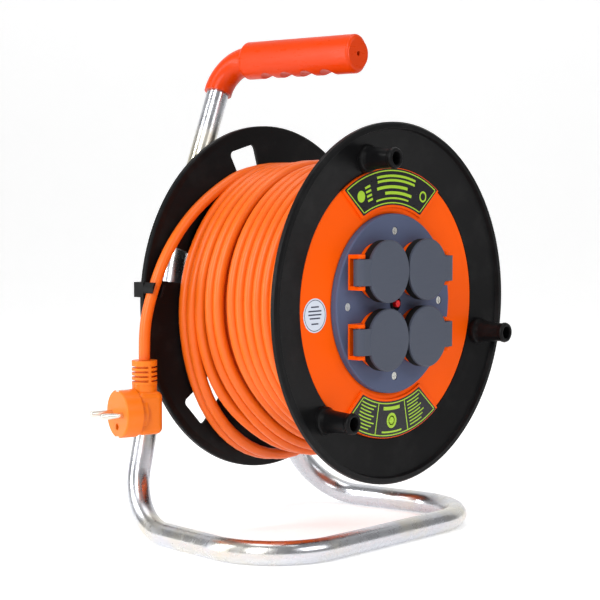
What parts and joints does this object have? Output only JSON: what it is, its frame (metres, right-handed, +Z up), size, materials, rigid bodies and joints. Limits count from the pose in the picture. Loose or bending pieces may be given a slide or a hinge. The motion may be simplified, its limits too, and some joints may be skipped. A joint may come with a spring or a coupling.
{
  "type": "extension cord reel",
  "caption": "Open cable reel on a bent steel tube stand: a drum wound with orange cable, a plug on its end, and a panel of lidded mains sockets.",
  "frame": {"origin": "on the floor under the middle of the object's box, without the cable", "axes": "+Z up, the drum turns about Y, the socket panel faces -Y and +X is to the right of someone who faces the panel"},
  "size_m": [0.3412, 0.2275, 0.414],
  "materials": {
    "zinc_tube": "bright zinc-plated steel tube, polished",
    "turned_steel": "turned or drawn steel",
    "zinc_fastener": "zinc-plated fasteners",
    "brass": "punched brass contacts",
    "nickel_pin": "nickel-plated brass",
    "orange_grip": "glossy orange hollow grip",
    "orange_panel": "orange moulding, smooth",
    "orange_sheath": "satin orange cable sheath",
    "orange_plug": "satin orange moulded plug",
    "black_plastic": "black moulding, fine satin",
    "grey_panel": "blue-grey satin moulding",
    "dark_grey_lid": "dark grey satin moulding",
    "black_rubber": "black gasket rubber",
    "white_nylon": "natural nylon",
    "red_button": "red push button",
    "label_film": "printed black film with a bright border",
    "sticker_film": "pale grey printed film"
  },
  "bodies": {
    "root": {"stand_tube": "zinc_tube", "grip": "orange_grip", "bearing_plate": "zinc_tube", "axle": "turned_steel", "axle_nut": "zinc_fastener", "axle_washers": "zinc_fastener", "cable_outer_turns": "orange_sheath", "cable_tail": "orange_sheath", "plug_body": "orange_plug", "plug_strain_relief": "orange_plug", "plug_pins": "nickel_pin", "plug_earth_strips": "nickel_pin"},
    "drum": {"bearing_bush_front": "white_nylon", "bearing_bush_rear": "white_nylon", "rear_flange": "black_plastic", "front_flange": "black_plastic", "drum_barrel": "black_plastic", "tie_bolts": "zinc_fastener", "winding_post_1": "black_plastic", "winding_post_2": "black_plastic", "winding_post_3": "black_plastic", "cover_ring": "orange_panel", "socket_plate": "grey_panel", "panel_screws": "zinc_fastener", "socket_1": "orange_panel", "socket_2": "orange_panel", "socket_3": "orange_panel", "socket_4": "orange_panel", "earth_clips": "brass", "contact_sleeves": "brass", "busbars": "brass", "lid_pins": "turned_steel", "lid_springs": "turned_steel", "reset_spring": "turned_steel", "thermal_cutout": "black_plastic", "reset_collar": "black_plastic", "terminal_block": "white_nylon", "cord_clamp": "black_plastic", "inner_lead": "orange_sheath", "cable_inner_turns": "orange_sheath", "cable_clip": "black_plastic", "label_top": "label_film", "label_bottom": "label_film", "round_sticker": "sticker_film"},
    "lid_1": {"lid_1": "dark_grey_lid", "lid_seal_1": "black_rubber"},
    "lid_2": {"lid_2": "dark_grey_lid", "lid_seal_2": "black_rubber"},
    "lid_3": {"lid_3": "dark_grey_lid", "lid_seal_3": "black_rubber"},
    "lid_4": {"lid_4": "dark_grey_lid", "lid_seal_4": "black_rubber"},
    "reset_button": {"reset_button": "red_button"}
  },
  "joints": [
    {"name": "drum_spin", "type": "hinge", "parent": "root", "child": "drum", "pos_m": [0, -0.0154, 0.197], "axis": [0, 1, 0], "continuous": true},
    {"name": "lid_1_hinge", "type": "hinge", "parent": "drum", "child": "lid_1", "pos_m": [-0.055, -0.0946, 0.224], "axis": [0, 0, -1], "range_deg": [0, 125], "stiffness_Nm_per_rad": 0.004, "springref_deg": -45.84},
    {"name": "lid_2_hinge", "type": "hinge", "parent": "drum", "child": "lid_2", "pos_m": [0.055, -0.0946, 0.224], "axis": [0, 0, 1], "range_deg": [0, 125], "stiffness_Nm_per_rad": 0.004, "springref_deg": -45.84},
    {"name": "lid_3_hinge", "type": "hinge", "parent": "drum", "child": "lid_3", "pos_m": [-0.055, -0.0946, 0.17], "axis": [0, 0, -1], "range_deg": [0, 125], "stiffness_Nm_per_rad": 0.004, "springref_deg": -45.84},
    {"name": "lid_4_hinge", "type": "hinge", "parent": "drum", "child": "lid_4", "pos_m": [0.055, -0.0946, 0.17], "axis": [0, 0, 1], "range_deg": [0, 125], "stiffness_Nm_per_rad": 0.004, "springref_deg": -45.84},
    {"name": "reset_button_slide", "type": "slide", "parent": "drum", "child": "reset_button", "axis": [0, 1, 0], "range_m": [0, 0.003], "stiffness_N_per_m": 300, "springref_m": -0.001, "deforming": ["reset_spring"]}
  ]
}
